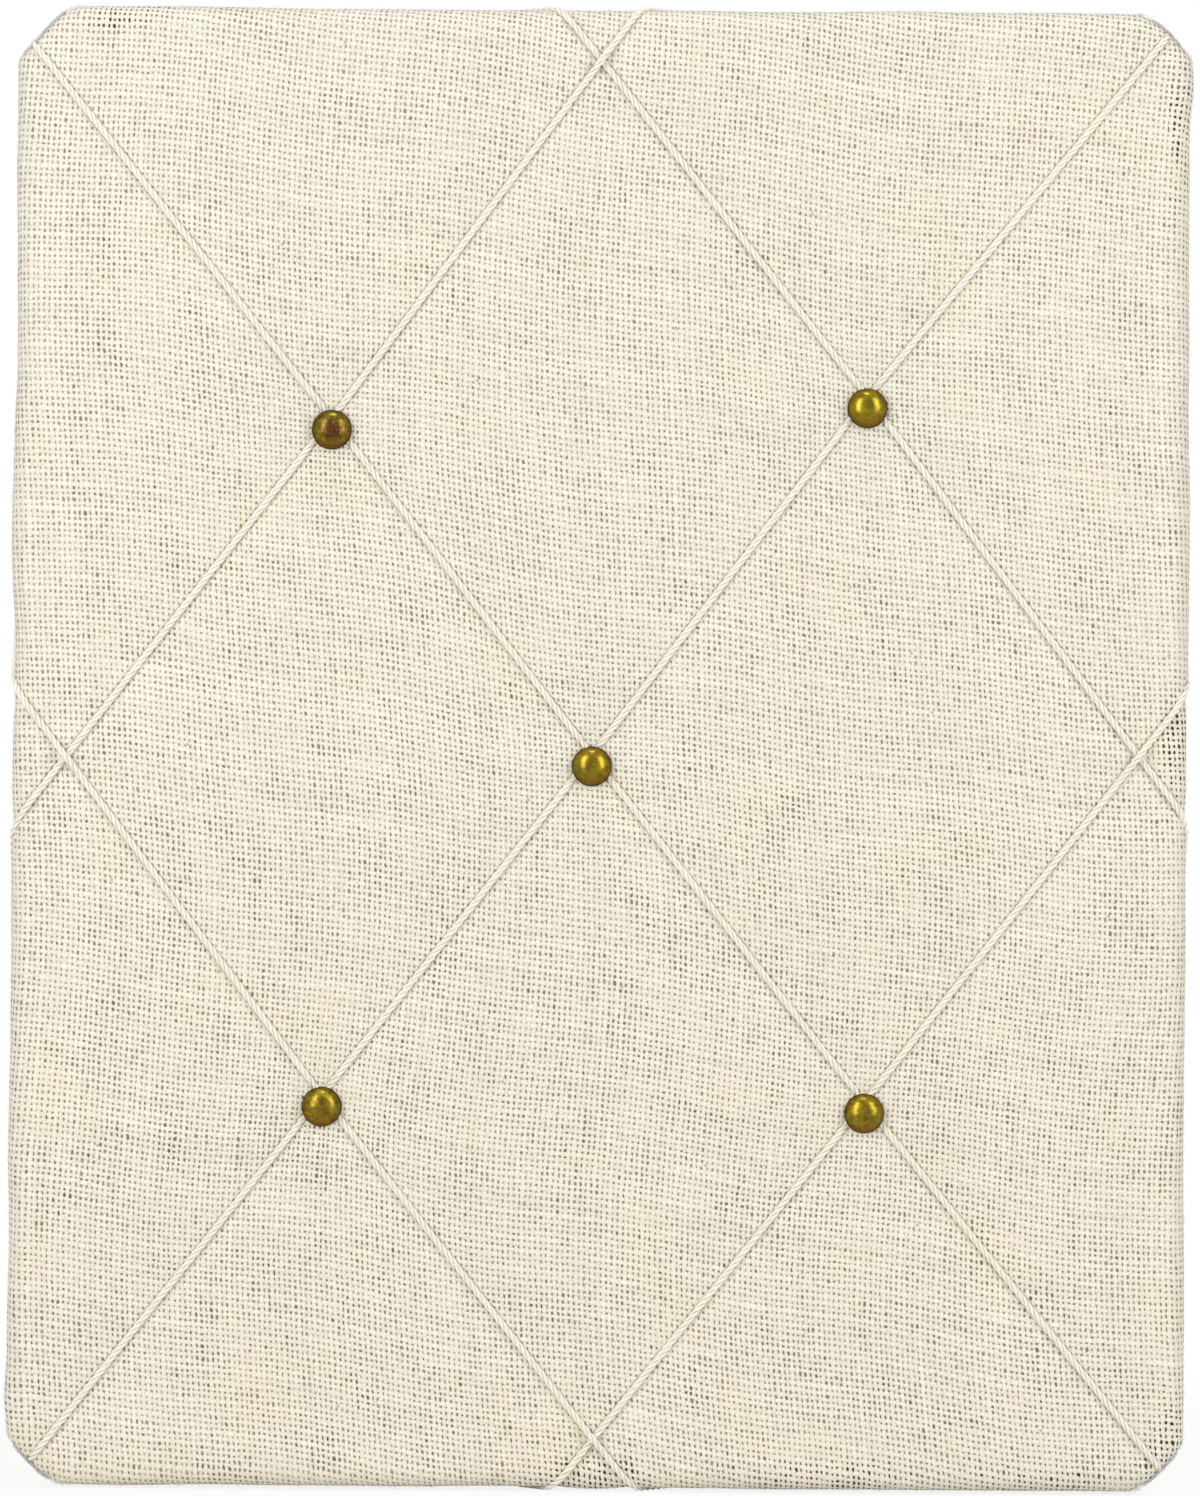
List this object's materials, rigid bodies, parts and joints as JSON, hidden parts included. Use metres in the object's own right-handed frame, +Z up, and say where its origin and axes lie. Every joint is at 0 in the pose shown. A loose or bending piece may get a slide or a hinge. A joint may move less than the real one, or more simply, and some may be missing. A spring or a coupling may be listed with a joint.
{
  "type": "memo board",
  "caption": "Padded memo board in cream open-weave cloth with chopped corners, a diamond lattice of twisted cords under antique-brass dome nails, and swinging hanger rings at the back.",
  "frame": {"origin": "centre of the back face of the backing card, where the board lies on the wall", "axes": "+Z up along the board's height, +X to the right seen from the front, +Y out of the back into the wall"},
  "size_m": [0.3438, 0.0246, 0.4318],
  "materials": {
    "cloth": "matt open plain weave",
    "batting": "matt wadding",
    "board": "bare fibreboard",
    "card": "matt kraft card",
    "cord": "matt twisted cotton",
    "brass": "antique brass",
    "staple_steel": "galvanised wire",
    "hanger_steel": "zinc plated"
  },
  "bodies": {
    "board": {"core_board": "board", "batting_pad": "batting", "cloth_cover": "cloth", "backing_card": "card", "cord_top_right_to_bottom_left": "cord", "cord_top_left_to_bottom_right": "cord", "cord_top_to_right": "cord", "cord_top_to_left": "cord", "cord_right_to_bottom": "cord", "cord_left_to_bottom": "cord", "nail_top_left": "brass", "nail_top_right": "brass", "nail_centre": "brass", "nail_bottom_left": "brass", "nail_bottom_right": "brass", "cord_staple_01": "staple_steel", "cord_staple_02": "staple_steel", "cord_staple_03": "staple_steel", "cord_staple_04": "staple_steel", "cord_staple_05": "staple_steel", "cord_staple_06": "staple_steel", "cord_staple_07": "staple_steel", "cord_staple_08": "staple_steel", "cord_staple_09": "staple_steel", "cord_staple_10": "staple_steel", "cord_staple_11": "staple_steel", "cord_staple_12": "staple_steel", "cloth_staple_01": "staple_steel", "cloth_staple_02": "staple_steel", "cloth_staple_03": "staple_steel", "cloth_staple_04": "staple_steel", "cloth_staple_05": "staple_steel", "cloth_staple_06": "staple_steel", "cloth_staple_07": "staple_steel", "cloth_staple_08": "staple_steel", "cloth_staple_09": "staple_steel", "cloth_staple_10": "staple_steel", "cloth_staple_11": "staple_steel", "cloth_staple_12": "staple_steel", "cloth_staple_13": "staple_steel", "cloth_staple_14": "staple_steel", "cloth_staple_15": "staple_steel", "cloth_staple_16": "staple_steel", "card_staple_01": "staple_steel", "card_staple_02": "staple_steel", "card_staple_03": "staple_steel", "card_staple_04": "staple_steel", "card_staple_05": "staple_steel", "card_staple_06": "staple_steel", "card_staple_07": "staple_steel", "card_staple_08": "staple_steel", "hanger_strap_left": "hanger_steel", "hanger_strap_right": "hanger_steel", "hanger_screw_left": "hanger_steel", "hanger_screw_right": "hanger_steel"},
    "left_ring": {"hanger_ring_left": "hanger_steel"},
    "right_ring": {"hanger_ring_right": "hanger_steel"}
  },
  "joints": [
    {"name": "left_ring_swing", "type": "hinge", "parent": "board", "child": "left_ring", "pos_m": [-0.095, -0.00325, 0.185], "axis": [1, 0, 0], "range_deg": [0, 170]},
    {"name": "right_ring_swing", "type": "hinge", "parent": "board", "child": "right_ring", "pos_m": [0.095, -0.00325, 0.185], "axis": [1, 0, 0], "range_deg": [0, 170]}
  ]
}
